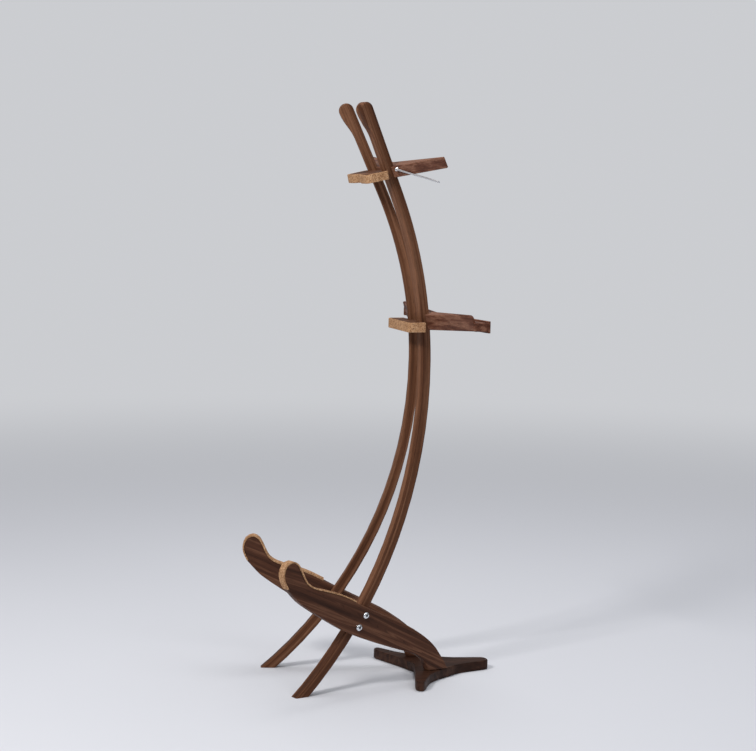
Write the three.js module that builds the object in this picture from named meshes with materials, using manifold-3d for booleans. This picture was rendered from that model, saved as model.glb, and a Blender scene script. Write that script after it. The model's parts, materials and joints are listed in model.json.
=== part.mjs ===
// Cello stand with a two-tier desk behind it, in millimetres, +Z up, the cello's side towards -Y.

import Module from "manifold-3d";
import * as THREE from "three";
import { mergeVertices, toCreasedNormals } from "three/addons/utils/BufferGeometryUtils.js";

const wasm = await Module();
wasm.setup();

const degree = Math.PI / 180;

// Fits
const seatGap = 0.3;
const runningGap = 0.1;
const cutOverrun = 10;
const weldDistance = 0.001;
const creaseAngle = 35 * degree;

// Steps of round shapes
const screwSides = 12;
const boreSides = 14;
const ringSides = 16;
const hexSides = 6;
const edgeSteps = 2;
const splineSteps = 2;
const legSteps = 8;
const domeSteps = 4;
const dipSteps = 12;
const restCornerSteps = 5;
const deskCornerSteps = 4;

// Legs: bent boards in two planes that close in towards the rear
const standHeight = 1250;
const legStance = 146;
const legYaw = 15.4 * degree;
const legTilt = 1.2 * degree;
const legWidth = 22;
const legDepth = 22;
const legEdge = 3;
const legUprightShare = 0.56;
const footLean = 47.3 * degree;
const upperBendShare = 0.72;
const upperLean = 23.5 * degree;
const finialDepth = 32;
const finialLength = 80;
const finialEase = 26;

// Rear foot
const footHalfWidth = 159;
const footLength = 219;
const footThickness = 22;
const footEdge = 3;
const footFrontShares = [[0, 0.11], [0.346, 0.059], [0.597, 0.023], [0.849, 0], [0.93, 0.002]];
const footTipShares = [[0.982, 0.02], [1, 0.048], [0.975, 0.078]];
const footRearShares = [[0.824, 0.142], [0.635, 0.225], [0.459, 0.365], [0.345, 0.502], [0.258, 0.585]];
const footTailShares = [[0.189, 0.694], [0.151, 0.813], [0.118, 0.92], [0.09, 0.975], [0.04, 0.998], [0, 1]];
const armLandingShare = 0.34;

// Cradle arms: hooked boards on the outer faces of the legs
const armLength = 416;
const armRise = 271;
const armThickness = 20;
const armEdge = 2.5;
const hookReach = 40;
const hookShares = [[0.024, 0.804], [0.005, 0.863], [0, 0.915], [0.014, 0.974], [0.048, 1], [0.079, 0.974]];
const valleyShares = [[0.108, 0.886], [0.132, 0.823], [0.175, 0.779], [0.245, 0.745], [0.327, 0.705]];
const topShares = [[0.387, 0.664], [0.466, 0.601], [0.601, 0.502], [0.736, 0.402], [0.817, 0.325]];
const heelShares = [[0.873, 0.262], [0.916, 0.199], [0.945, 0.14], [0.976, 0.066], [1, 0]];
const instepShares = [[0.877, 0], [0.865, 0.044], [0.841, 0.103], [0.781, 0.159], [0.666, 0.221]];
const underShares = [[0.529, 0.299], [0.425, 0.365], [0.346, 0.424], [0.243, 0.52], [0.149, 0.613]];
const throatShares = [[0.084, 0.686], [0.043, 0.753]];
const armCorkThickness = 3.2;
const armCorkShare = 0.462;

// Bolts and their threaded inserts
const boltRadius = 3;
const boltHeadRadius = 7.3;
const boltHeadHeight = 4;
const boltHeadRim = 1.2;
const boltBite = 12;
const socketWidth = 5;
const socketDepth = 2.4;
const boltRiseShares = [0.431, 0.521];
const insertRadius = 4.5;
const insertLength = 14;

// Wood screws
const screwRadius = 2;
const screwHeadRadius = 4;
const screwHeadHeight = 3;
const screwPoint = 4;
const screwBite = 14;
const screwRecess = 1;
const footScrewShares = [0.915, 0.965];

// Neck rest
const neckRestDrop = 143;
const neckRestOverhang = 3;
const neckRestDepth = 44;
const neckRestThickness = 18.5;
const neckRestTilt = 12.5 * degree;
const neckDipWidth = 64;
const neckDip = 6;
const restCorner = 7;
const restCork = 4;
const restCorkEdge = 0.8;
const restEdge = 1.5;

// Back rest
const backRestRise = 84.5;
const backRestOverhang = 22;
const backRestDepth = 34;
const backRestThickness = 21;

// Desk header
const headerDrop = 144.4;
const headerTall = 24;
const headerHalfLength = 237;
const headerRearDepth = 24;
const headerSweep = 7.4 * degree;
const headerEnd = 4.3;
const headerCorner = 3;
const housingDepth = 6;
const housingShoulder = 4;
const boardEdge = 1.2;

// Desk rail, shelf and lips
const railRise = 84.3;
const railTall = 34.5;
const railHalfLength = 222;
const railRearDepth = 12;
const deskSweep = 7.2 * degree;
const railEnd = 5;
const railCorner = 12;
const shelfRise = 11.7;
const shelfThickness = 18.5;
const shelfDepth = 22;
const shelfHalfLength = 230;
const lipThickness = 7;
const lipTall = 25;
const lipStand = 3;
const shelfScrewShares = [0.29, 0.6];
const shelfScrewBite = 9;

// Bow slot
const slotWidth = 14;
const slotDepth = 16;
const slotCork = 3;

// Page rods
const rodRadius = 2;
const rodLength = 133;
const rodDroop = 19 * degree;
const rodPivotShare = 0.354;
const rodPivotDrop = 6;
const eyeRadius = 4;
const eyeThickness = 4.4;
const pivotRadius = 1.6;
const pivotHeadRadius = 3.2;
const pivotHeadHeight = 2.4;
const pivotBite = 13;
const pivotWasherThickness = 0.8;

const stand = new THREE.Group();

// Materials
function walnut() {
  return new THREE.MeshStandardMaterial({ color: 0x5b4438, roughness: 0.5, metalness: 0 });
}

function cork() {
  return new THREE.MeshStandardMaterial({ color: 0xb08a63, roughness: 0.95, metalness: 0 });
}

function brightSteel() {
  return new THREE.MeshStandardMaterial({ color: 0xd5d7da, roughness: 0.2, metalness: 1 });
}

function plainSteel() {
  return new THREE.MeshStandardMaterial({ color: 0x9a9da1, roughness: 0.4, metalness: 1 });
}

function brass() {
  return new THREE.MeshStandardMaterial({ color: 0xb89a52, roughness: 0.35, metalness: 1 });
}

// Solids and meshes
function toSolid(geometry) {
  const bare = new THREE.BufferGeometry();
  bare.setAttribute("position", geometry.getAttribute("position"));
  bare.setIndex(geometry.index);
  const welded = mergeVertices(bare, weldDistance);
  const corners = Array.from(welded.index.array);
  const triangles = [];
  for (let i = 0; i < corners.length; i += 3) {
    const [a, b, c] = corners.slice(i, i + 3);
    if (a !== b && b !== c && c !== a) triangles.push(a, b, c);
  }
  return new wasm.Manifold(new wasm.Mesh({
    numProp: 3,
    vertProperties: new Float32Array(welded.getAttribute("position").array),
    triVerts: new Uint32Array(triangles),
  }));
}

function solidIn(frame, geometry) {
  frame.updateWorldMatrix(true, false);
  return toSolid(geometry.clone().applyMatrix4(frame.matrixWorld));
}

function reshape(mesh, solid) {
  const made = solid.getMesh();
  const geometry = new THREE.BufferGeometry();
  geometry.setAttribute("position", new THREE.BufferAttribute(made.vertProperties, 3));
  geometry.setIndex(new THREE.BufferAttribute(made.triVerts, 1));
  geometry.applyMatrix4(mesh.matrixWorld.clone().invert());
  mesh.geometry = toCreasedNormals(geometry, creaseAngle);
}

function carve(mesh, ...tools) {
  const whole = solidIn(mesh, mesh.geometry);
  reshape(mesh, tools.reduce((rest, tool) => rest.subtract(tool), whole));
}

function piece(parent, name, geometry, material) {
  const mesh = new THREE.Mesh(geometry, material());
  mesh.name = name;
  parent.add(mesh);
  return mesh;
}

function sideName(side) {
  return side > 0 ? "right" : "left";
}

// Lines and outlines
function vectors(pairs) {
  return pairs.map(([x, y]) => new THREE.Vector2(x, y));
}

function distinct(points) {
  const last = points.length - 1;
  return points.filter((point, i) => point.distanceTo(points[i > 0 ? i - 1 : last]) > weldDistance);
}

function smoothLine(points, steps) {
  const knots = points.map((point) => new THREE.Vector3(point.x, point.y, 0));
  const curve = new THREE.CatmullRomCurve3(knots, false, "centripetal");
  return curve.getPoints(steps * (points.length - 1)).map((point) => new THREE.Vector2(point.x, point.y));
}

function arcLine(x, y, radius, from, to, steps) {
  return Array.from({ length: steps + 1 }, (_, i) => {
    const angle = from + (to - from) * i / steps;
    return new THREE.Vector2(x + radius * Math.cos(angle), y + radius * Math.sin(angle));
  });
}

function offsetLine(points, distance) {
  return points.map((point, i) => {
    const before = points[Math.max(i - 1, 0)];
    const after = points[Math.min(i + 1, points.length - 1)];
    const run = after.clone().sub(before).normalize();
    return new THREE.Vector2(point.x - run.y * distance, point.y + run.x * distance);
  });
}

// A board cut to an outline, from z = 0 to its thickness, with rounded edges
function board(outline, thickness, edge, rounds, grow = 0) {
  const geometry = new THREE.ExtrudeGeometry(new THREE.Shape(outline), {
    depth: thickness + 2 * grow - 2 * edge,
    bevelThickness: edge,
    bevelSize: edge,
    bevelOffset: grow - edge,
    bevelSegments: rounds,
  });
  return geometry.translate(0, 0, edge - grow);
}

function stripOutline(line, near, far) {
  return [...offsetLine(line, far), ...offsetLine(line, near).reverse()];
}

function plainBoard(outline, thickness) {
  return new THREE.ExtrudeGeometry(new THREE.Shape(outline), { depth: thickness, bevelEnabled: false });
}

function ring(inner, outer, height) {
  const profile = [[inner, 0], [outer, 0], [outer, height], [inner, height], [inner, 0]];
  return new THREE.LatheGeometry(vectors(profile), ringSides);
}

// Leg curves, in the leg's own plane: along runs to the rear, height runs up
const legUprightHeight = legUprightShare * standHeight;
const upperBend = upperBendShare * standHeight;
const lowerBend = legUprightHeight / Math.sin(footLean);
const lowerCentre = -Math.sqrt((lowerBend - legDepth) ** 2 - legUprightHeight ** 2);
const upperCentre = lowerCentre + lowerBend - upperBend;

// Heights of the rests and the desk
const neckRestHeight = standHeight - neckRestDrop;
const backRestHeight = legUprightHeight + backRestRise;
const headerHeight = standHeight - headerDrop;
const railHeight = legUprightHeight + railRise;

function legEdgeAt(height, depthIn) {
  const rise = height - legUprightHeight;
  const lowerRadius = lowerBend - depthIn;
  const upperRadius = upperBend - depthIn;
  const bendRise = upperRadius * Math.sin(upperLean);
  if (rise < 0) return lowerCentre + Math.sqrt(lowerRadius ** 2 - rise ** 2);
  if (rise < bendRise) return upperCentre + Math.sqrt(upperRadius ** 2 - rise ** 2);
  return upperCentre + upperRadius * Math.cos(upperLean) - (rise - bendRise) * Math.tan(upperLean);
}

function legOutline() {
  const sine = Math.sin(upperLean);
  const cosine = Math.cos(upperLean);
  const bendTop = new THREE.Vector2(upperCentre + upperBend * cosine, legUprightHeight + upperBend * sine);
  const nose = finialDepth / 2;
  const noseHeight = standHeight / Math.cos(legTilt) - nose;
  const noseRun = (noseHeight - bendTop.y + nose * sine) / cosine;
  const flareRun = noseRun + nose - finialLength;
  const at = (run, depthIn) => [
    bendTop.x - run * sine - depthIn * cosine,
    bendTop.y + run * cosine - depthIn * sine,
  ];
  const rearStart = Math.asin((legUprightHeight + cutOverrun) / lowerBend);
  const frontEnd = Math.asin((legUprightHeight + cutOverrun) / (lowerBend - legDepth));
  const shape = new THREE.Shape();
  shape.absarc(lowerCentre, legUprightHeight, lowerBend, -rearStart, 0, false);
  shape.absarc(upperCentre, legUprightHeight, upperBend, 0, upperLean, false);
  shape.absarc(...at(noseRun, nose), nose, upperLean, upperLean + Math.PI, false);
  shape.bezierCurveTo(
    ...at(noseRun - finialEase, finialDepth),
    ...at(flareRun + finialEase, legDepth),
    ...at(flareRun, legDepth),
  );
  shape.absarc(upperCentre, legUprightHeight, upperBend - legDepth, upperLean, 0, true);
  shape.absarc(lowerCentre, legUprightHeight, lowerBend - legDepth, 0, -frontEnd, true);
  return distinct(shape.getPoints(legSteps));
}

// The plane of each leg's outer face, its own z axis turned to keep it right-handed
function legPlane(side) {
  const along = new THREE.Vector3(-side * Math.sin(legYaw), Math.cos(legYaw), 0);
  const level = new THREE.Vector3(side * Math.cos(legYaw), Math.sin(legYaw), 0);
  const out = level.multiplyScalar(Math.cos(legTilt)).setZ(Math.sin(legTilt)).multiplyScalar(side);
  const up = new THREE.Vector3().crossVectors(out, along);
  const plane = new THREE.Group();
  plane.position.x = side * legStance;
  plane.setRotationFromMatrix(new THREE.Matrix4().makeBasis(along, up, out));
  stand.add(plane);
  plane.updateWorldMatrix(true, false);
  return plane;
}

function onPlane(plane, side, along, height, out) {
  return new THREE.Vector3(along, height, side * out).applyMatrix4(plane.matrixWorld);
}

// Places a board that lies from one distance out of the leg's plane
function setOut(mesh, side, from, thickness) {
  mesh.position.z = side > 0 ? from : -from - thickness;
  return mesh;
}

const legLine = legOutline();
const floorBlock = solidIn(stand, new THREE.BoxGeometry(standHeight, standHeight, standHeight)
  .translate(0, 0, -standHeight / 2));

function makeLeg(plane, side) {
  const geometry = board(legLine, legWidth, legEdge, edgeSteps);
  const leg = setOut(piece(plane, `leg_${sideName(side)}`, geometry, walnut), side, -legWidth, legWidth);
  carve(leg, floorBlock);
  return leg;
}

function legRoom(plane, side) {
  const room = new THREE.Group();
  plane.add(room);
  setOut(room, side, -legWidth, legWidth);
  return solidIn(room, board(legLine, legWidth, legEdge, edgeSteps, seatGap));
}

// A point on the outer face of the right leg, at one height and one depth in from its rear edge
function legCorner(planes, height, depthIn) {
  return onPlane(planes[0], 1, legEdgeAt(height, depthIn), height, 0);
}

// Arms with their cork strips
const armHeight = footThickness + seatGap;

function armPoints(shares) {
  return shares.map(([along, rise]) => (
    new THREE.Vector2(along * armLength - hookReach, armHeight + rise * armRise)
  ));
}

const armTopShares = [...hookShares, ...valleyShares, ...topShares, ...heelShares];
const armTopLine = smoothLine(armPoints(armTopShares), splineSteps);
const hookLedge = makeHookLedge();
const armUnderLine = smoothLine(
  [...armPoints([...instepShares, ...underShares, ...throatShares]), hookLedge[0]],
  splineSteps,
);
const armOutline = distinct([...armTopLine, ...armUnderLine, hookLedge[1]]);
const armCorkLine = armTopLine.filter((point) => point.x < armCorkShare * armLength - hookReach);

// A step in the wood that the front end of the cork butts on, flush with the cork's face
function makeHookLedge() {
  const [start, next] = armTopLine;
  const back = start.clone().sub(next).setLength(seatGap);
  const foot = start.clone().add(back);
  const face = offsetLine([start, next], armCorkThickness + seatGap)[0].add(back);
  return [face, foot];
}

function makeArm(plane, side) {
  const geometry = board(armOutline, armThickness, armEdge, edgeSteps);
  const arm = piece(plane, `cradle_arm_${sideName(side)}`, geometry, walnut);
  return setOut(arm, side, seatGap, armThickness);
}

function makeArmCork(plane, side) {
  const outline = stripOutline(armCorkLine, seatGap, seatGap + armCorkThickness);
  const geometry = plainBoard(outline, armThickness);
  const name = `cradle_cork_${sideName(side)}`;
  return setOut(piece(plane, name, geometry, cork), side, seatGap, armThickness);
}

// Fasteners, made with the head at the origin and the shank along +Y
function pin(radius, length) {
  return new THREE.CylinderGeometry(radius, radius, length, boreSides).translate(0, length / 2, 0);
}

function spotAt(frame, position, direction) {
  const spot = new THREE.Group();
  spot.position.copy(position);
  spot.quaternion.setFromUnitVectors(new THREE.Vector3(0, 1, 0), direction);
  frame.add(spot);
  return spot;
}

function domedHead(radius, height, rim) {
  const dome = arcLine(0, 0, 1, 0, Math.PI / 2, domeSteps);
  const points = dome.map((point) => (
    new THREE.Vector2(point.x * radius, rim + point.y * (height - rim))
  ));
  return [new THREE.Vector2(radius, 0), ...points.slice(0, -1), new THREE.Vector2(0, height)];
}

function socketBolt(radius, length, headRadius, headHeight, rim) {
  const shank = vectors([[0, -length], [radius, -length], [radius, 0]]);
  const profile = [...shank, ...domedHead(headRadius, headHeight, rim)];
  return new THREE.LatheGeometry(profile, ringSides).rotateX(Math.PI);
}

function socketTool(width, depth, headHeight) {
  const across = width / Math.sqrt(3);
  const length = depth + cutOverrun;
  return new THREE.CylinderGeometry(across, across, length, hexSides)
    .translate(0, depth - headHeight - length / 2, 0);
}

function woodScrew(length) {
  const profile = [
    [0, -length], [screwRadius, screwPoint - length], [screwRadius, -screwHeadHeight],
    [screwHeadRadius, -screwHeadHeight / 3], [screwHeadRadius, 0], [0, 0],
  ];
  return new THREE.LatheGeometry(vectors(profile), screwSides).rotateX(Math.PI);
}

function screwRoom(length, mouth) {
  const shank = screwRadius + seatGap;
  const head = screwHeadRadius + seatGap;
  const profile = [
    [0, -length - seatGap], [shank, -length - seatGap], [shank, -screwHeadHeight - seatGap],
    [head, -screwHeadHeight / 3 - seatGap], [head, mouth], [0, mouth],
  ];
  return new THREE.LatheGeometry(vectors(profile), boreSides).rotateX(Math.PI);
}

function addScrew(frame, name, position, direction, length, mouth, carriers) {
  const spot = spotAt(frame, position, direction);
  piece(spot, name, woodScrew(length), plainSteel);
  const room = solidIn(spot, screwRoom(length, mouth));
  carriers.forEach((carrier) => carve(carrier, room));
}

function addArmBolts(plane, side, arm, leg) {
  const inward = new THREE.Vector3(0, 0, -side);
  const headSeat = armThickness + 2 * seatGap;
  boltRiseShares.forEach((share, i) => {
    const height = armHeight + share * armRise;
    const along = legEdgeAt(height, legDepth / 2);
    const label = `${sideName(side)}_${i + 1}`;
    const spot = spotAt(plane, new THREE.Vector3(along, height, side * headSeat), inward);
    const bolt = piece(
      spot,
      `arm_bolt_${label}`,
      socketBolt(boltRadius, headSeat + boltBite, boltHeadRadius, boltHeadHeight, boltHeadRim),
      brightSteel,
    );
    carve(bolt, solidIn(spot, socketTool(socketWidth, socketDepth, boltHeadHeight)));
    carve(arm, solidIn(spot, pin(boltRadius + seatGap, headSeat)));
    const seat = spotAt(plane, new THREE.Vector3(along, height, 0), inward);
    const insert = ring(boltRadius + runningGap, insertRadius, insertLength);
    piece(seat, `threaded_insert_${label}`, insert, brass);
    const boreLength = insertLength + cutOverrun + seatGap;
    const bore = pin(insertRadius + seatGap, boreLength).translate(0, -cutOverrun, 0);
    carve(leg, solidIn(seat, bore));
  });
}

// Rear foot, under the ends of both arms
function makeRearFoot(planes) {
  const landing = (armPoints(heelShares).at(-1).x + armPoints(instepShares)[0].x) / 2;
  const front = onPlane(planes[0], 1, landing, 0, armThickness / 2).y - armLandingShare * footLength;
  const shares = [...footFrontShares, ...footTipShares, ...footRearShares, ...footTailShares];
  const half = shares.map(([x, y]) => new THREE.Vector2(x * footHalfWidth, front + y * footLength));
  const right = smoothLine(half, splineSteps);
  const left = right.map((point) => new THREE.Vector2(-point.x, point.y)).reverse();
  const outline = distinct([...right, ...left]);
  return piece(stand, "rear_foot", board(outline, footThickness, footEdge, edgeSteps), walnut);
}

function addFootScrews(plane, side, arm, foot) {
  footScrewShares.forEach((share, i) => {
    const along = share * armLength - hookReach;
    const position = onPlane(plane, side, along, 0, seatGap + armThickness / 2);
    position.z = screwRecess;
    const up = new THREE.Vector3(0, 0, 1);
    const name = `foot_screw_${sideName(side)}_${i + 1}`;
    addScrew(stand, name, position, up, footThickness + screwBite, screwRecess + cutOverrun, [foot, arm]);
  });
}

// Rests: boards let on to the fronts of the legs, with a cork band round the front and the ends
function restLine(half, depth, dipWidth, dip) {
  const quarter = [0, -Math.PI / 2];
  const corner = arcLine(half - restCorner, restCorner - depth, restCorner, ...quarter, restCornerSteps);
  const dipLine = Array.from({ length: dipSteps + 1 }, (_, i) => {
    const share = 2 * i / dipSteps - 1;
    const lift = dip * (1 + Math.cos(share * Math.PI)) / 2;
    return new THREE.Vector2(-share * dipWidth / 2, lift - depth);
  });
  const mirrored = corner.map((point) => new THREE.Vector2(-point.x, point.y)).reverse();
  return [new THREE.Vector2(half, 0), ...corner, ...dipLine, ...mirrored, new THREE.Vector2(-half, 0)];
}

function restFrame(height, tilt, planes) {
  const frame = new THREE.Group();
  frame.position.set(0, legCorner(planes, height, legDepth).y, height);
  frame.rotation.x = tilt;
  stand.add(frame);
  return frame;
}

function makeRest(name, frame, line, thickness, rooms) {
  const body = piece(frame, name, board(line, thickness, restEdge, 1), walnut);
  const outline = stripOutline(line, seatGap, seatGap + restCork);
  const band = piece(frame, `${name}_cork`, board(outline, thickness, restCorkEdge, 1), cork);
  body.position.z = -thickness;
  band.position.z = -thickness;
  carve(body, ...rooms);
  return body;
}

function addRestScrews(name, frame, body, depth, thickness, height, planes, legs) {
  const length = depth - screwHeadHeight + screwBite;
  planes.forEach((plane, i) => {
    const side = 1 - 2 * i;
    const leg = onPlane(plane, side, legEdgeAt(height, legDepth), height, -legWidth / 2);
    const position = new THREE.Vector3(leg.x, screwHeadHeight - depth, -thickness / 2);
    const inward = new THREE.Vector3(0, 1, 0);
    addScrew(
      frame, `${name}_screw_${sideName(side)}`, position, inward, length, 2 * screwHeadHeight,
      [body, legs[i]],
    );
  });
}

// Desk boards: housed over the rear of the legs, swept back and tapered towards thin ends
function wingPlan(halfLength, housing, rearDepth, sweep, end) {
  const rear = rearDepth + halfLength * Math.tan(sweep);
  const right = [[housing, -housingDepth], [halfLength, rear - end], [halfLength, rear]];
  const left = right.map(([x, y]) => [-x, y]).reverse();
  return vectors([...right, [0, rearDepth], ...left]);
}

function wingFrame(height, planes) {
  const step = legWidth / 2;
  const foot = onPlane(planes[0], 1, legEdgeAt(height - step, 0), height - step, -step);
  const head = onPlane(planes[0], 1, legEdgeAt(height + step, 0), height + step, -step);
  const frame = new THREE.Group();
  frame.position.set(0, (foot.y + head.y) / 2, height);
  frame.rotation.x = Math.atan2(foot.y - head.y, head.z - foot.z);
  stand.add(frame);
  return frame;
}

function cornerTool(halfLength, top, corner, side) {
  const shape = new THREE.Shape();
  shape.moveTo(halfLength - corner, top + cutOverrun);
  shape.absarc(halfLength - corner, top - corner, corner, Math.PI / 2, 0, true);
  shape.lineTo(halfLength + cutOverrun, top - corner);
  shape.lineTo(halfLength + cutOverrun, top + cutOverrun);
  const geometry = new THREE.ExtrudeGeometry(shape, {
    depth: halfLength,
    bevelEnabled: false,
    curveSegments: deskCornerSteps,
  });
  geometry.rotateX(Math.PI / 2).translate(0, halfLength, 0);
  return side > 0 ? geometry : geometry.rotateZ(Math.PI).translate(0, halfLength, 0);
}

function makeWing(name, frame, plan, tall, halfLength, corner, rooms) {
  const body = piece(frame, name, board(plan, tall, boardEdge, 1), walnut);
  body.position.z = -tall / 2;
  const corners = [1, -1].map((side) => solidIn(frame, cornerTool(halfLength, tall / 2, corner, side)));
  carve(body, ...rooms, ...corners);
  return body;
}

function addWingScrews(name, frame, body, rearDepth, sweep, height, planes, legs) {
  planes.forEach((plane, i) => {
    const side = 1 - 2 * i;
    const leg = onPlane(plane, side, legEdgeAt(height, 0), height, -legWidth / 2);
    const rear = rearDepth + Math.abs(leg.x) * Math.tan(sweep);
    const position = new THREE.Vector3(leg.x, rear - screwRecess, 0);
    const forward = new THREE.Vector3(0, -1, 0);
    addScrew(
      frame, `${name}_screw_${sideName(side)}`, position, forward, rear + screwBite,
      screwRecess + cutOverrun, [body, legs[i]],
    );
  });
}

// Shelf behind the rail, with the bow slot open to the rear
function makeShelf(railFrame, rail) {
  const frame = new THREE.Group();
  const front = railFrame.position.y + railRearDepth - housingDepth;
  frame.position.set(0, front, railHeight + shelfRise - shelfThickness);
  stand.add(frame);
  const sweep = shelfHalfLength * Math.tan(deskSweep);
  const deep = shelfDepth + housingDepth;
  const plan = vectors([
    [0, 0], [shelfHalfLength, sweep], [shelfHalfLength, sweep + deep],
    [0, deep], [-shelfHalfLength, sweep + deep], [-shelfHalfLength, sweep],
  ]);
  const shelf = piece(frame, "desk_shelf", board(plan, shelfThickness, boardEdge, 1), walnut);
  const slot = new THREE.BoxGeometry(slotWidth + 2 * slotCork, slotDepth + cutOverrun, standHeight)
    .translate(0, deep - slotDepth + (slotDepth + cutOverrun) / 2, 0);
  const railRooms = [seatGap, -railEnd / 2, -railEnd].map((shift) => {
    const spot = new THREE.Group();
    spot.position.copy(rail.position).setY(shift);
    spot.scale.x = 1 + seatGap / railHalfLength;
    railFrame.add(spot);
    return solidIn(spot, rail.geometry);
  });
  carve(shelf, solidIn(frame, slot), ...railRooms);
  return { frame, shelf, deep };
}

function makeSlotLining(frame, deep) {
  const wide = slotWidth / 2 + slotCork - seatGap;
  const half = slotWidth / 2;
  const front = deep - slotDepth + seatGap;
  const outline = vectors([
    [wide, deep], [half, deep], [half, front + slotCork],
    [-half, front + slotCork], [-half, deep], [-wide, deep], [-wide, front], [wide, front],
  ]);
  return piece(frame, "bow_slot_cork", plainBoard(outline, shelfThickness), cork);
}

function makeLip(frame, deep, side) {
  const start = slotWidth / 2 + slotCork;
  const length = (shelfHalfLength - start) / Math.cos(deskSweep);
  const bottom = shelfThickness + lipStand - lipTall;
  const outline = vectors([[0, 0], [length, 0], [length, lipTall], [0, lipTall]]);
  const turned = new THREE.Group();
  turned.position.set(side * start, deep + start * Math.tan(deskSweep) + seatGap, bottom);
  turned.rotation.z = side * deskSweep;
  frame.add(turned);
  const geometry = board(outline, lipThickness, boardEdge, 1)
    .rotateX(Math.PI / 2)
    .translate(0, lipThickness, 0);
  const lip = piece(turned, `desk_lip_${sideName(side)}`, geometry, walnut);
  lip.position.x = side > 0 ? 0 : -length;
  return lip;
}

// From the rear of the shelf, under the lips, forward into the rail
function addShelfScrews(frame, shelf, deep, rail) {
  [1, -1].forEach((side) => shelfScrewShares.forEach((share, i) => {
    const x = share * shelfHalfLength;
    const rear = deep + x * Math.tan(deskSweep);
    const position = new THREE.Vector3(side * x, rear - screwRecess, shelfThickness / 2);
    const forward = new THREE.Vector3(0, -1, 0);
    const name = `shelf_screw_${sideName(side)}_${i + 1}`;
    const length = shelfDepth + shelfScrewBite;
    addScrew(frame, name, position, forward, length, screwRecess + cutOverrun, [shelf, rail]);
  }));
}

// Page rods on the front of the header
function addRod(headerFrame, header, headerHousing, side) {
  const endFront = headerRearDepth + headerHalfLength * Math.tan(headerSweep) - headerEnd;
  const taper = Math.atan2(endFront + housingDepth, headerHalfLength - headerHousing);
  const reach = rodPivotShare * headerHalfLength;
  const pivot = new THREE.Group();
  pivot.position.set(
    side * reach,
    (reach - headerHousing) * Math.tan(taper) - housingDepth,
    headerTall / 2 - rodPivotDrop,
  );
  const along = new THREE.Vector3(side * Math.cos(taper), Math.sin(taper), 0);
  const out = new THREE.Vector3(Math.sin(taper), -side * Math.cos(taper), 0);
  const up = new THREE.Vector3(0, 0, 1);
  pivot.setRotationFromMatrix(new THREE.Matrix4().makeBasis(along, up, out));
  headerFrame.add(pivot);
  const inward = new THREE.Vector3(0, 0, -side);
  const washerSeat = seatGap + pivotWasherThickness;
  const eyeSeat = washerSeat + seatGap + eyeThickness;
  const headSeat = eyeSeat + seatGap;
  const washerSpot = spotAt(pivot, new THREE.Vector3(0, 0, side * washerSeat), inward);
  const washer = ring(pivotRadius + runningGap, pivotHeadRadius, pivotWasherThickness);
  piece(washerSpot, `rod_washer_${sideName(side)}`, washer, brightSteel);
  const screwSpot = spotAt(pivot, new THREE.Vector3(0, 0, side * headSeat), inward);
  const rim = pivotHeadHeight / 3;
  const screw = socketBolt(pivotRadius, headSeat + pivotBite, pivotHeadRadius, pivotHeadHeight, rim);
  piece(screwSpot, `rod_pivot_screw_${sideName(side)}`, screw, brightSteel);
  const room = pin(pivotRadius + seatGap, headSeat + pivotBite + seatGap);
  carve(header, solidIn(screwSpot, room));
  const rodSpot = spotAt(pivot, new THREE.Vector3(0, 0, side * eyeSeat), inward);
  const eye = solidIn(rodSpot, ring(pivotRadius + runningGap, eyeRadius, eyeThickness));
  const swing = new THREE.Group();
  swing.position.z = side * (eyeSeat - eyeThickness / 2);
  swing.rotation.z = -rodDroop;
  pivot.add(swing);
  const eyeMiddle = (pivotRadius + eyeRadius) / 2;
  const bar = new THREE.CylinderGeometry(rodRadius, rodRadius, rodLength - eyeMiddle, boreSides)
    .rotateZ(-Math.PI / 2)
    .translate((rodLength + eyeMiddle) / 2, 0, 0);
  const rod = piece(swing, `page_rod_${sideName(side)}`, bar, brightSteel);
  const bore = solidIn(rodSpot, pin(pivotRadius + 2 * runningGap, eyeThickness));
  reshape(rod, solidIn(rod, bar).subtract(bore).add(eye));
}

// Assembly
const sides = [1, -1];
const planes = sides.map(legPlane);
const legs = sides.map((side, i) => makeLeg(planes[i], side));
const legRooms = sides.map((side, i) => legRoom(planes[i], side));
const arms = sides.map((side, i) => makeArm(planes[i], side));
const rearFoot = makeRearFoot(planes);
sides.forEach((side, i) => {
  makeArmCork(planes[i], side);
  addArmBolts(planes[i], side, arms[i], legs[i]);
  addFootScrews(planes[i], side, arms[i], rearFoot);
});

const neckFrame = restFrame(neckRestHeight, neckRestTilt, planes);
const neckHalf = legCorner(planes, neckRestHeight, legDepth).x + neckRestOverhang;
const neckLine = restLine(neckHalf, neckRestDepth, neckDipWidth, neckDip);
const neckRest = makeRest("neck_rest", neckFrame, neckLine, neckRestThickness, legRooms);
const neckMiddle = neckRestHeight - neckRestThickness / 2;
addRestScrews("neck_rest", neckFrame, neckRest, neckRestDepth, neckRestThickness, neckMiddle, planes, legs);

const backFrame = restFrame(backRestHeight, 0, planes);
const backHalf = legCorner(planes, backRestHeight, legDepth).x + backRestOverhang;
const backLine = restLine(backHalf, backRestDepth, neckDipWidth, 0);
const backRest = makeRest("back_rest", backFrame, backLine, backRestThickness, legRooms);
const backMiddle = backRestHeight - backRestThickness / 2;
addRestScrews("back_rest", backFrame, backRest, backRestDepth, backRestThickness, backMiddle, planes, legs);

const headerFrame = wingFrame(headerHeight, planes);
const headerHousing = legCorner(planes, headerHeight, 0).x + housingShoulder;
const headerPlan = wingPlan(headerHalfLength, headerHousing, headerRearDepth, headerSweep, headerEnd);
const header = makeWing(
  "desk_header", headerFrame, headerPlan, headerTall, headerHalfLength, headerCorner, legRooms,
);
addWingScrews("header", headerFrame, header, headerRearDepth, headerSweep, headerHeight, planes, legs);
sides.forEach((side) => addRod(headerFrame, header, headerHousing, side));

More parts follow.
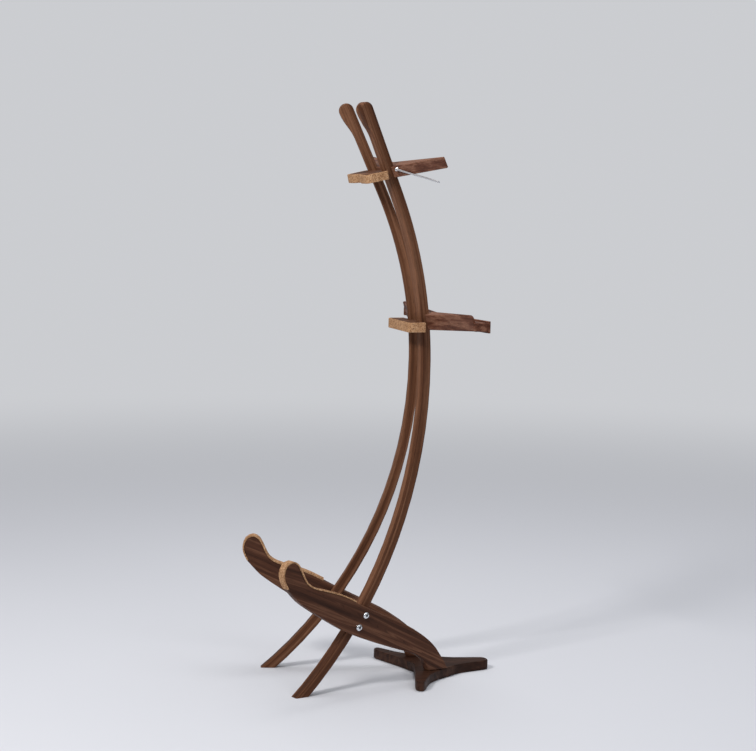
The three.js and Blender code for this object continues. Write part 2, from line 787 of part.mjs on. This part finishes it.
// The rail leans as the pages do, which stand on the shelf and lean on the header
const railFrame = wingFrame(railHeight, planes);
const deskRun = railFrame.position.y - headerFrame.position.y;
railFrame.rotation.x = Math.atan2(deskRun, headerHeight - railHeight);
const railHousing = legCorner(planes, railHeight, 0).x + housingShoulder;
const railPlan = wingPlan(railHalfLength, railHousing, railRearDepth, deskSweep, railEnd);
const rail = makeWing("desk_rail", railFrame, railPlan, railTall, railHalfLength, railCorner, legRooms);
const { frame: shelfFrame, shelf, deep } = makeShelf(railFrame, rail);
addWingScrews("rail", railFrame, rail, railRearDepth, deskSweep, railHeight, planes, legs);
makeSlotLining(shelfFrame, deep);
sides.forEach((side) => makeLip(shelfFrame, deep, side));
addShelfScrews(shelfFrame, shelf, deep, rail);

// The origin lies on the floor under the middle of the whole stand
const middle = new THREE.Box3().setFromObject(stand, true).getCenter(new THREE.Vector3());
stand.position.set(-middle.x, -middle.y, 0);

export default stand;
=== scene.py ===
"""Looks of the cello stand: walnut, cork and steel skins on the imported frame, in metres."""

import json
import math

import bmesh
import bpy
import numpy as np
from mathutils import Matrix, Vector


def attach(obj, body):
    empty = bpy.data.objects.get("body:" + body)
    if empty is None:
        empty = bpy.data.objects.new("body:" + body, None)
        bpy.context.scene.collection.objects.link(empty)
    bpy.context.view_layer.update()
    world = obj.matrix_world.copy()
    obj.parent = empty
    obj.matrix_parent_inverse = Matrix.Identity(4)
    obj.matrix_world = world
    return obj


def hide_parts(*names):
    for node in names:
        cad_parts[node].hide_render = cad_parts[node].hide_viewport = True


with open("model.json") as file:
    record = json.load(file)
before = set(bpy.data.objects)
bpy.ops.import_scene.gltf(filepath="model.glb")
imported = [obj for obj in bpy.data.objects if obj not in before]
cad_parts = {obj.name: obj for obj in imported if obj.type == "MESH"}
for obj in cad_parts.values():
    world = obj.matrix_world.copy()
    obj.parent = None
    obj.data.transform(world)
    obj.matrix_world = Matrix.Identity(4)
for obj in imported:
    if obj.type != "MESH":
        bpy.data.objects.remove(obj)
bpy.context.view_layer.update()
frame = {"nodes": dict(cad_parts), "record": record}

MM = 0.001

# Leg planes and bends, as in the part
LEG_YAW = math.radians(15.4)
LEG_TILT = math.radians(1.2)
LEG_UPRIGHT_HEIGHT = 700 * MM
LOWER_BEND = LEG_UPRIGHT_HEIGHT / math.sin(math.radians(47.3))
UPPER_BEND = 900 * MM
UPPER_LEAN = math.radians(23.5)

# Leg grain: the cuts across a leg that it is laid over, and the band about the joint of the two bends
# in which the leg's rear edge is looked for
LEG_SLICES = 48
BEND_BAND = 60 * MM

# Arm boards: the tilt of their grain, and how much it bows for each square of the run from the middle
ARM_GRAIN_TILT = math.radians(-25)
ARM_GRAIN_BOW = 0.25

# Camera, placed as the photograph's was from the floor corner of the near leg's foot, which lies among
# the leg's points in the slice over the floor
CAMERA_FROM_FOOT = Vector((3953.0, -1131.0, 1118.0)) * MM
CAMERA_AZIMUTH = math.radians(71.8)
CAMERA_PITCH = math.radians(6.0)
CAMERA_ROLL = math.radians(1.0)
CAMERA_FOCAL_PX = 2000.0
CAMERA_REACH = 60.0
PHOTO_WIDTH_PX = 756
SENSOR = 36.0
FLOOR_SLICE = 1 * MM

# Floor and air: the floor's half width, the distances over which it goes over into the air, and how
# strong the air is from below, from above and where the camera sees it
FLOOR_REACH = 14.0
FADE_START = 1.4
FADE_END = 5.5
FLOOR_COLOUR = (0.67, 0.68, 0.72, 1.0)
AIR_COLOUR = (0.60, 0.61, 0.635, 1.0)
AIR_LOW = 0.22
AIR_HIGH = 0.85
AIR_SEEN = 1.0

# Lamps: place, width, power and colour, all aimed at the stand's middle
LAMP_TARGET = (0.0, 0.0, 0.6)
LAMPS = {
    "key": ((1.6, -2.6, 3.0), 0.8, 88.0, (1.0, 0.98, 0.96)),
    "fill": ((3.6, 1.6, 2.6), 1.6, 26.0, (0.95, 0.97, 1.0)),
    "top": ((-0.6, 0.6, 3.6), 2.0, 42.0, (1.0, 1.0, 1.0)),
}

# Skins: the least angle of a sharp edge, the most between faces that count as flat, the weld
SMOOTH_ANGLE = math.radians(38)
FLAT_ANGLE = math.radians(0.5)
WELD = 0.01 * MM

# Arm bolts: the head's height, how far its socket reaches out from the axis, and the place among the
# bolt's materials of the near-black steel that is painted into the socket as painted shade
BOLT_HEAD = 4 * MM
SOCKET_REACH = 2.6 * MM
SOCKET_SHADE_SLOT = 1

# The rear foot's front edge: how it runs in the part, and how much deeper the photograph shows it in
# the middle, out to the reach where the two agree
FOOT_FRONT_MIDDLE = 69.3 * MM
FOOT_FRONT_SLOPE = 0.2
FOOT_EDGE_BAND = 5 * MM
FOOT_HOLLOW = 21.5 * MM
FOOT_HOLLOW_REACH = 145 * MM
FOOT_HOLLOW_POWER = 1.6


def put_in_scene(name, data):
    made = bpy.data.objects.new(name, data)
    bpy.context.scene.collection.objects.link(made)
    return made


# Material graphs
class Graph:
    """A node tree with short calls for adding nodes and joining them."""

    def __init__(self, name):
        self.material = bpy.data.materials.new(name)
        self.material.use_nodes = True
        self.nodes = self.material.node_tree.nodes
        self.links = self.material.node_tree.links
        self.shader = self.nodes["Principled BSDF"]

    def add(self, kind, inputs=None, **settings):
        node = self.nodes.new(kind)
        for key, value in settings.items():
            setattr(node, key, value)
        for key, value in (inputs or {}).items():
            self.put(node.inputs[key], value)
        return node

    def put(self, socket, value):
        if isinstance(value, bpy.types.NodeSocket):
            self.links.new(value, socket)
        else:
            socket.default_value = value

    def noise(self, vector, scale, detail=4.0, roughness=0.55):
        inputs = {"Vector": vector, "Scale": scale, "Detail": detail, "Roughness": roughness}
        return self.add("ShaderNodeTexNoise", inputs).outputs["Fac"]

    def stretch(self, vector, scale, offset=(0.0, 0.0, 0.0)):
        inputs = {"Vector": vector, "Scale": scale, "Location": offset}
        return self.add("ShaderNodeMapping", inputs).outputs["Vector"]

    def ramp(self, value, stops):
        node = self.add("ShaderNodeValToRGB", {"Fac": value})
        elements = node.color_ramp.elements
        while len(elements) < len(stops):
            elements.new(0.5)
        for element, (place, colour) in zip(elements, stops):
            element.position = place
            element.color = colour if len(colour) == 4 else (*colour, 1.0)
        return node.outputs["Color"]

    def math(self, operation, first, second):
        node = self.add("ShaderNodeMath", operation=operation)
        self.put(node.inputs[0], first)
        self.put(node.inputs[1], second)
        return node.outputs["Value"]

    def mix(self, factor, first, second, blend="MIX"):
        node = self.add("ShaderNodeMix", data_type="RGBA", blend_type=blend)
        self.put(node.inputs["Factor"], factor)
        self.put(node.inputs["A"], first)
        self.put(node.inputs["B"], second)
        return node.outputs["Result"]

    def bump(self, height, strength, distance):
        inputs = {"Height": height, "Strength": strength, "Distance": distance}
        self.put(self.shader.inputs["Normal"], self.add("ShaderNodeBump", inputs).outputs["Normal"])

    def object_place(self):
        return self.add("ShaderNodeTexCoord").outputs["Object"]


def grey(value):
    return (value, value, value, 1.0)


def walnut(name, dark, middle, light, seed):
    """Oiled walnut: broad dark and light bands, fine lines and short pores, all along the grain."""
    g = Graph(name)
    grain = g.add("ShaderNodeAttribute", attribute_name="grain").outputs["Vector"]
    shift = (seed * 1.7, seed * 2.3, seed * 3.1)
    bent = g.noise(g.stretch(grain, (3.0, 20.0, 20.0), shift), 1.0, 2.0)
    bands = g.noise(g.stretch(grain, (1.6, 95.0, 60.0), shift), 1.0, 3.0)
    bands = g.math("ADD", g.math("MULTIPLY", bands, 0.75), g.math("MULTIPLY", bent, 0.25))
    lines = g.noise(g.stretch(grain, (5.0, 520.0, 420.0), shift), 1.0, 3.0)
    pores = g.noise(g.stretch(grain, (55.0, 1500.0, 1300.0), shift), 1.0, 2.0)
    colour = g.ramp(bands, [(0.34, dark), (0.48, middle), (0.56, light), (0.66, middle)])
    line_tone = g.ramp(lines, [(0.36, grey(0.70)), (0.62, grey(1.10))])
    colour = g.mix(0.8, colour, line_tone, "MULTIPLY")
    pore_tone = g.ramp(pores, [(0.34, grey(0.45)), (0.44, grey(1.0))])
    colour = g.mix(0.75, colour, pore_tone, "MULTIPLY")
    g.put(g.shader.inputs["Base Color"], colour)
    gloss = g.ramp(lines, [(0.3, grey(0.54)), (0.7, grey(0.44))])
    g.put(g.shader.inputs["Roughness"], gloss)
    g.put(g.shader.inputs["Specular IOR Level"], 0.13)
    g.bump(g.math("ADD", g.math("MULTIPLY", pores, 0.7), g.math("MULTIPLY", lines, 0.3)), 0.22, 0.0004)
    return g.material


def cork(name):
    """Sheet cork: tan grains of many tones with small dark specks and a soft, pitted surface."""
    g = Graph(name)
    place = g.object_place()
    wobble = g.add("ShaderNodeTexNoise", {"Vector": place, "Scale": 900.0, "Detail": 2.0}).outputs["Color"]
    warped = g.mix(0.0016, place, wobble, "ADD")
    grains = g.add("ShaderNodeTexVoronoi", {"Vector": warped, "Scale": 520.0})
    tone = g.ramp(
        g.add("ShaderNodeSeparateColor", {"Color": grains.outputs["Color"]}).outputs["Red"],
        [(0.0, (0.24, 0.115, 0.052)), (0.35, (0.42, 0.222, 0.108)), (0.75, (0.55, 0.315, 0.165)),
         (1.0, (0.68, 0.43, 0.25))],
    )
    seams = g.ramp(grains.outputs["Distance"], [(0.35, grey(1.0)), (0.75, grey(0.72))])
    colour = g.mix(0.7, tone, seams, "MULTIPLY")
    specks = g.ramp(g.noise(place, 1400.0, 3.0, 0.6), [(0.36, grey(0.35)), (0.43, grey(1.0))])
    colour = g.mix(0.7, colour, specks, "MULTIPLY")
    g.put(g.shader.inputs["Base Color"], colour)
    g.put(g.shader.inputs["Roughness"], 0.92)
    g.put(g.shader.inputs["Specular IOR Level"], 0.25)
    pits = g.math("ADD", grains.outputs["Distance"], g.noise(place, 1600.0, 3.0, 0.6))
    g.bump(pits, 0.35, 0.0005)
    return g.material


def metal(name, colour, rough_low, rough_high):
    """Bare metal with a faintly uneven polish."""
    g = Graph(name)
    place = g.object_place()
    polish = g.noise(place, 700.0, 3.0, 0.6)
    g.put(g.shader.inputs["Base Color"], g.ramp(polish, [(0.3, [c * 0.86 for c in colour]), (0.7, colour)]))
    g.put(g.shader.inputs["Metallic"], 1.0)
    g.put(g.shader.inputs["Roughness"], g.ramp(polish, [(0.3, grey(rough_low)), (0.7, grey(rough_high))]))
    g.bump(polish, 0.04, 0.0002)
    return g.material


def stage_paint(name, near_colour, far_colour):
    """Pale paint near the stand that goes over into the colour of the air far away."""
    g = Graph(name)
    place = g.object_place()
    distance = g.add("ShaderNodeVectorMath", {0: place}, operation="LENGTH").outputs["Value"]
    span = {"Value": distance, "From Min": FADE_START, "From Max": FADE_END}
    fade = g.add("ShaderNodeMapRange", span, interpolation_type="SMOOTHSTEP").outputs["Result"]
    seen = g.math("MULTIPLY", fade, g.add("ShaderNodeLightPath").outputs["Is Camera Ray"])
    g.put(g.shader.inputs["Base Color"], g.mix(seen, near_colour, grey(0.0)))
    g.put(g.shader.inputs["Specular IOR Level"], 0.0)
    g.put(g.shader.inputs["Roughness"], 0.9)
    g.put(g.shader.inputs["Emission Color"], far_colour)
    g.put(g.shader.inputs["Emission Strength"], seen)
    return g.material


# The dark, middle and light tones of each kind of board, and the seed that shifts its pattern
WALNUT_TONES = {
    "leg": ((0.062, 0.022, 0.010), (0.132, 0.052, 0.024), (0.225, 0.104, 0.056), 1.0),
    "arm": ((0.042, 0.016, 0.009), (0.085, 0.033, 0.018), (0.150, 0.067, 0.038), 4.0),
    # The foot's tones are the darkest: partly the foot's own darker walnut, partly painted shade for the
    # shade it lies in
    "foot": ((0.020, 0.0075, 0.004), (0.040, 0.0155, 0.0085), (0.070, 0.031, 0.018), 7.0),
    "rest": ((0.052, 0.019, 0.009), (0.110, 0.043, 0.021), (0.185, 0.086, 0.048), 9.0),
    "desk": ((0.062, 0.020, 0.010), (0.135, 0.050, 0.029), (0.245, 0.116, 0.072), 12.0),
}

MATERIALS = {kind: walnut(f"{kind}_walnut", *tones) for kind, tones in WALNUT_TONES.items()}
MATERIALS |= {
    "cork": cork("sheet_cork"),
    "bright": metal("bright_steel", (0.83, 0.85, 0.88), 0.14, 0.24),
    # Near-black steel painted into the bolt sockets as painted shade for their depth
    "socket": metal("socket_painted_shade", (0.10, 0.10, 0.11), 0.35, 0.5),
    "rod": metal("rod_steel", (0.93, 0.94, 0.96), 0.36, 0.46),
    "plain": metal("plain_steel", (0.58, 0.59, 0.61), 0.32, 0.45),
    "brass": metal("turned_brass", (0.71, 0.55, 0.26), 0.28, 0.4),
}


# Grain: each vertex gets its place along, across and through the board it belongs to
def points_of(mesh):
    return np.array([vertex.co for vertex in mesh.vertices])


def leg_axes(side):
    """Rows: along the leg's plane to the rear, up in it, and out to the stand's side."""
    along = Vector((-side * math.sin(LEG_YAW), math.cos(LEG_YAW), 0.0))
    out = Vector((
        side * math.cos(LEG_YAW) * math.cos(LEG_TILT),
        math.sin(LEG_YAW) * math.cos(LEG_TILT),
        math.sin(LEG_TILT),
    ))
    up = out.cross(along) * side
    return np.array([along, up, out])


def leg_grain(points, side):
    """Along the bent leg, in from its rear edge, and through its width."""
    run, height, out = (points @ leg_axes(side).T).T
    rise = height - LEG_UPRIGHT_HEIGHT
    rear = run[np.abs(rise) < BEND_BAND].max()
    radius = np.where(rise < 0, LOWER_BEND, UPPER_BEND)
    reach = run - rear + radius
    angle = np.arctan2(rise, reach)
    along = radius * angle
    inward = radius - np.hypot(rise, reach)
    past = angle > UPPER_LEAN
    ahead = rise - UPPER_BEND * math.sin(UPPER_LEAN)
    back = reach - UPPER_BEND * math.cos(UPPER_LEAN)
    straight = ahead * math.cos(UPPER_LEAN) - back * math.sin(UPPER_LEAN)
    across = -(ahead * math.sin(UPPER_LEAN) + back * math.cos(UPPER_LEAN))
    along = np.where(past, UPPER_BEND * UPPER_LEAN + straight, along)
    inward = np.where(past, across, inward)
    return np.stack([along, inward, out], axis=1)


def arm_grain(points, side):
    """Along the tilted arm, with a slight bow."""
    run, height, out = (points @ leg_axes(side).T).T
    cosine = math.cos(ARM_GRAIN_TILT)
    sine = math.sin(ARM_GRAIN_TILT)
    bow = ARM_GRAIN_BOW * (run - run.mean()) ** 2
    return np.stack([run * cosine + height * sine, height * cosine - run * sine + bow, out], axis=1)


def cross_grain(points, side):
    """Along X: the desk boards and the rests."""
    return points[:, [0, 2, 1]]


def foot_grain(points, side):
    """Along Y: the rear foot, from its front edge to its tail."""
    return points[:, [1, 0, 2]]


# Skins
def body_of(node):
    return next(body for body, nodes in frame["record"]["behaviour"]["bodies"].items() if node in nodes)


def hollow_front(made):
    """Moves the foot's front edge to the rear, most in the middle and not at all at the tips."""
    bmesh.ops.dissolve_limit(made, angle_limit=FLAT_ANGLE, verts=made.verts, edges=made.edges)
    for vertex in made.verts:
        reach = abs(vertex.co.x)
        front = FOOT_FRONT_MIDDLE - FOOT_FRONT_SLOPE * reach
        if reach < FOOT_HOLLOW_REACH and vertex.co.y < front + FOOT_EDGE_BAND:
            vertex.co.y += FOOT_HOLLOW * (1 - (reach / FOOT_HOLLOW_REACH) ** FOOT_HOLLOW_POWER)


def slice_across(made):
    """Cuts the leg's long faces across at short steps, so that the grain can follow its bends."""
    heights = [vertex.co.z for vertex in made.verts]
    lowest, highest = min(heights), max(heights)
    for i in range(1, LEG_SLICES):
        height = lowest + (highest - lowest) * i / LEG_SLICES
        whole = made.verts[:] + made.edges[:] + made.faces[:]
        plane = {"plane_co": (0, 0, height), "plane_no": (0, 0, 1)}
        bmesh.ops.bisect_plane(made, geom=whole, dist=WELD, **plane)


def shade_socket(mesh, side):
    """Paints the hexagon socket in a bolt's head with near-black steel: painted shade for the shade that
    falls in its depth.
    """
    mesh.materials.append(MATERIALS["socket"])
    points = points_of(mesh) @ leg_axes(side).T
    head = points[:, 2] > points[:, 2].max() - BOLT_HEAD
    axis = (points[head, :2].min(axis=0) + points[head, :2].max(axis=0)) / 2
    for face in mesh.polygons:
        run, rise = points[list(face.vertices), :2].mean(axis=0)
        if math.hypot(run - axis[0], rise - axis[1]) < SOCKET_REACH:
            face.material_index = SOCKET_SHADE_SLOT


def skin(node, material, grain=None):
    """A welded, smoothly shaded copy of a CAD node that carries the finished material."""
    mesh = frame["nodes"][node].data.copy()
    made = bmesh.new()
    made.from_mesh(mesh)
    bmesh.ops.remove_doubles(made, verts=made.verts, dist=WELD)
    if node == "rear_foot":
        hollow_front(made)
    if grain is leg_grain:
        slice_across(made)
    for face in made.faces:
        face.smooth = True
    for edge in made.edges:
        edge.smooth = not edge.is_manifold or edge.calc_face_angle() < SMOOTH_ANGLE
    made.to_mesh(mesh)
    made.free()
    side = 1 if "right" in node else -1
    mesh.materials.clear()
    mesh.materials.append(MATERIALS[material])
    if "bolt" in node:
        shade_socket(mesh, side)
    piece = put_in_scene(f"{node}_skin", mesh)
    if grain:
        values = grain(points_of(mesh), side).astype(np.float32)
        attribute = mesh.attributes.new("grain", "FLOAT_VECTOR", "POINT")
        attribute.data.foreach_set("vector", values.ravel())
    weighted = piece.modifiers.new("even_normals", "WEIGHTED_NORMAL")
    weighted.keep_sharp = True
    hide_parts(node)
    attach(piece, body_of(node))


WALNUT_NODES = {
    "leg_right": ("leg", leg_grain), "leg_left": ("leg", leg_grain),
    "cradle_arm_right": ("arm", arm_grain), "cradle_arm_left": ("arm", arm_grain),
    "rear_foot": ("foot", foot_grain),
    "neck_rest": ("rest", cross_grain), "back_rest": ("rest", cross_grain),
    "desk_header": ("desk", cross_grain), "desk_rail": ("desk", cross_grain),
    "desk_shelf": ("desk", cross_grain),
    "desk_lip_right": ("desk", cross_grain), "desk_lip_left": ("desk", cross_grain),
}


def dress_stand():
    for node, (material, grain) in WALNUT_NODES.items():
        skin(node, material, grain)
    for node in sorted(set(frame["nodes"]) - set(WALNUT_NODES)):
        if "cork" in node:
            skin(node, "cork")
        elif "insert" in node:
            skin(node, "brass")
        elif "page_rod" in node:
            skin(node, "rod")
        elif "bolt" in node or "rod" in node:
            skin(node, "bright")
        else:
            skin(node, "plain")


# Stage, lights and camera
def build_stage():
    mesh = bpy.data.meshes.new("studio_floor")
    made = bmesh.new()
    bmesh.ops.create_grid(made, x_segments=2, y_segments=2, size=FLOOR_REACH)
    made.to_mesh(mesh)
    made.free()
    mesh.materials.append(stage_paint("studio_white", FLOOR_COLOUR, AIR_COLOUR))
    put_in_scene("studio_floor", mesh)


def add_light(name, place, size, power, colour):
    data = bpy.data.lights.new(name, "AREA")
    data.shape = "DISK"
    data.size = size
    data.energy = power
    data.color = colour
    lamp = put_in_scene(name, data)
    lamp.location = place
    lamp.rotation_euler = (Vector(LAMP_TARGET) - Vector(place)).to_track_quat("-Z", "Y").to_euler()


def light_stage():
    for name, lamp in LAMPS.items():
        add_light(name, *lamp)
    world = bpy.data.worlds.new("studio_air")
    world.use_nodes = True
    nodes = world.node_tree.nodes
    links = world.node_tree.links
    air = nodes["Background"]
    split = nodes.new("ShaderNodeSeparateXYZ")
    links.new(nodes.new("ShaderNodeTexCoord").outputs["Generated"], split.inputs["Vector"])
    rise = nodes.new("ShaderNodeMapRange")
    links.new(split.outputs["Z"], rise.inputs["Value"])
    rise.inputs["To Min"].default_value = AIR_LOW
    rise.inputs["To Max"].default_value = AIR_HIGH
    level = nodes.new("ShaderNodeMix")
    links.new(nodes.new("ShaderNodeLightPath").outputs["Is Camera Ray"], level.inputs["Factor"])
    links.new(rise.outputs["Result"], level.inputs["A"])
    level.inputs["B"].default_value = AIR_SEEN
    links.new(level.outputs["Result"], air.inputs["Strength"])
    air.inputs["Color"].default_value = AIR_COLOUR
    bpy.context.scene.world = world


def near_foot():
    """The front floor corner of the near leg, on the plane of its outer face."""
    points = points_of(frame["nodes"]["leg_right"].data)
    run, _, out = (points @ leg_axes(1).T).T
    low = points[:, 2] < points[:, 2].min() + FLOOR_SLICE
    corner = leg_axes(1).T @ np.array([run[low].min(), 0.0, out.max()])
    corner[2] = 0.0
    return Vector(corner)


def place_camera():
    cos_pitch = math.cos(CAMERA_PITCH)
    forward = Vector((
        -math.sin(CAMERA_AZIMUTH) * cos_pitch,
        math.cos(CAMERA_AZIMUTH) * cos_pitch,
        -math.sin(CAMERA_PITCH),
    ))
    level = Vector((math.cos(CAMERA_AZIMUTH), math.sin(CAMERA_AZIMUTH), 0.0))
    above = level.cross(forward)
    right = level * math.cos(CAMERA_ROLL) + above * math.sin(CAMERA_ROLL)
    up = above * math.cos(CAMERA_ROLL) - level * math.sin(CAMERA_ROLL)
    data = bpy.data.cameras.new("photo_camera")
    data.sensor_width = SENSOR
    data.sensor_fit = "HORIZONTAL"
    data.lens = CAMERA_FOCAL_PX * SENSOR / PHOTO_WIDTH_PX
    data.clip_end = CAMERA_REACH
    camera = put_in_scene("photo_camera", data)
    turn = Matrix((right, up, -forward)).transposed().to_4x4()
    camera.matrix_world = Matrix.Translation(near_foot() + CAMERA_FROM_FOOT) @ turn
    bpy.context.scene.camera = camera


dress_stand()
build_stage()
light_stage()
place_camera()
bpy.context.scene.view_settings.view_transform = "Standard"
